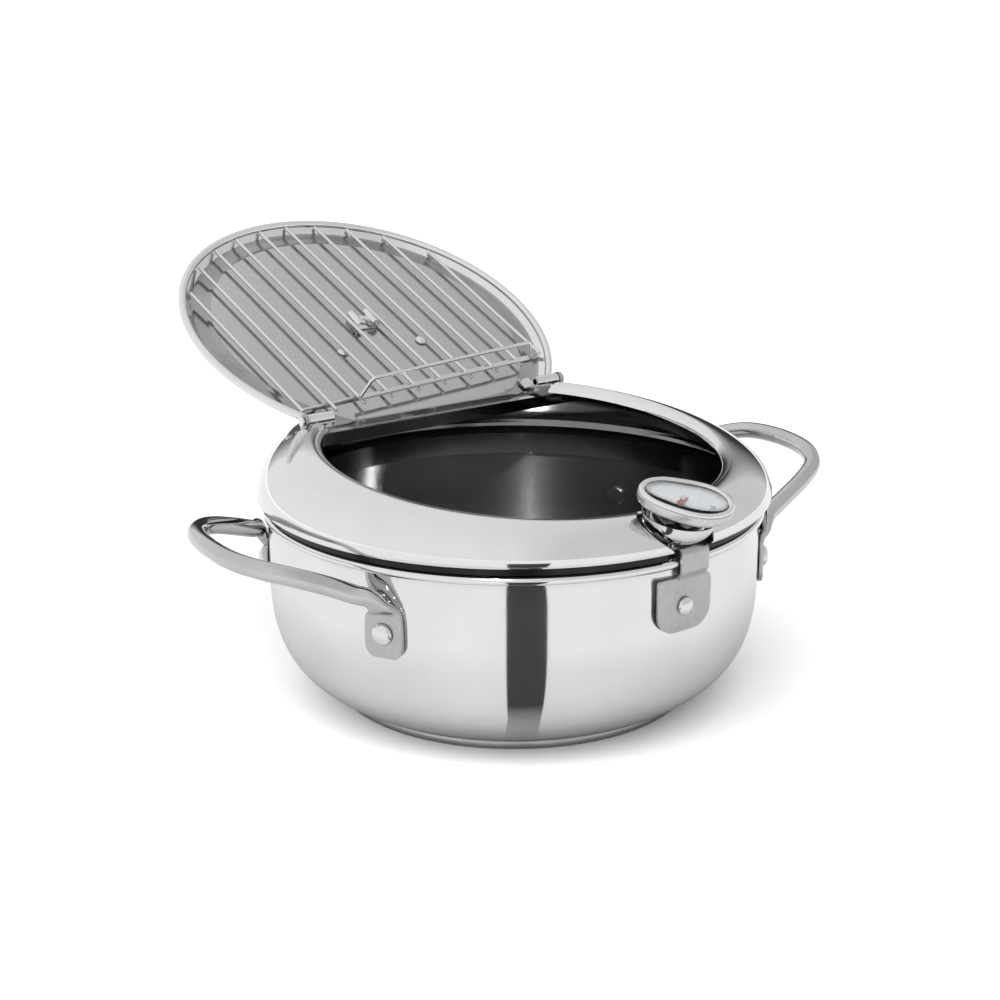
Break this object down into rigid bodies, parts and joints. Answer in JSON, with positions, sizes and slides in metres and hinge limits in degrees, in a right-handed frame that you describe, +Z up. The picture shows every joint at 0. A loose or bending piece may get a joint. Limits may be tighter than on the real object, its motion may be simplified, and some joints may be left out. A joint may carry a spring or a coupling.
{
  "type": "stove-top deep frying pot",
  "caption": "Round steel deep-frying pot for a stove, with loop handles, a domed splash guard, a hinged lid with a draining rack, and a dial thermometer in a bracket.",
  "frame": {"origin": "centre of the base disc's flat underside", "axes": "+Z up; -Y is the front, where the thermometer stands; the lid is hinged at the back on a line parallel to X; the handles are near +X and -X"},
  "size_m": [0.3277, 0.3559, 0.2005],
  "materials": {
    "polished_steel": "mirror-polished stainless steel",
    "satin_steel": "satin stainless steel, brushed one way",
    "bright_steel": "bright drawn stainless steel",
    "seal": "matt black rubber",
    "case": "silver-grey satin enamel",
    "lens": "clear and polished",
    "face": "pale grey matt print",
    "brass": "plain",
    "needle": "red enamel"
  },
  "bodies": {
    "pot": {"pot_body": "polished_steel", "base_disc": "satin_steel", "handle_left": "bright_steel", "handle_right": "bright_steel", "handle_rivet_left_front": "bright_steel", "handle_rivet_left_rear": "bright_steel", "handle_rivet_right_front": "bright_steel", "handle_rivet_right_rear": "bright_steel", "thermometer_bracket": "satin_steel", "bracket_rivet": "bright_steel"},
    "guard": {"guard_ring": "polished_steel", "guard_hinge_left": "satin_steel", "guard_hinge_right": "satin_steel", "hinge_pin_left": "bright_steel", "hinge_pin_right": "bright_steel"},
    "lid": {"lid_panel": "satin_steel", "lid_knuckle_left": "satin_steel", "lid_knuckle_right": "satin_steel", "lid_handle": "satin_steel", "lid_stud_left": "bright_steel", "lid_stud_right": "bright_steel", "rack_clip": "bright_steel", "rack_clip_rivet": "bright_steel"},
    "rack": {"rack_wire_1": "bright_steel", "rack_wire_2": "bright_steel", "rack_wire_3": "bright_steel", "rack_wire_4": "bright_steel", "rack_wire_5": "bright_steel", "rack_wire_6": "bright_steel", "rack_wire_7": "bright_steel", "rack_wire_8": "bright_steel", "rack_wire_9": "bright_steel", "rack_wire_10": "bright_steel", "rack_cross_wire": "bright_steel", "rack_fence_wire": "bright_steel"},
    "thermometer": {"case_bowl": "polished_steel", "case_seal": "seal", "dial_case": "case", "dial_bezel": "bright_steel", "dial_lens": "lens", "dial_plate": "face", "stem_tube": "satin_steel", "bimetal_coil": "brass"},
    "pointer": {"pointer_shaft": "brass", "pointer": "needle", "pointer_hub": "bright_steel"}
  },
  "joints": [
    {"name": "guard_lift", "type": "slide", "parent": "pot", "child": "guard", "axis": [0, 0, 1], "range_m": [0, 0.06]},
    {"name": "lid_hinge", "type": "hinge", "parent": "guard", "child": "lid", "pos_m": [0, 0.0645, 0.1296], "axis": [1, 0, 0], "range_deg": [0, 159.8]},
    {"name": "rack_unclip", "type": "slide", "parent": "lid", "child": "rack", "axis": [0, -0.4258, 0.9048], "range_m": [0, 0.025]},
    {"name": "thermometer_lift", "type": "slide", "parent": "guard", "child": "thermometer", "axis": [0.0099, -0.2586, 0.9659], "range_m": [0, 0.06]},
    {"name": "pointer_turn", "type": "hinge", "parent": "thermometer", "child": "pointer", "pos_m": [0.00159, -0.11965, 0.12122], "axis": [0.0099, -0.2586, 0.9659], "range_deg": [-60, 120]}
  ]
}
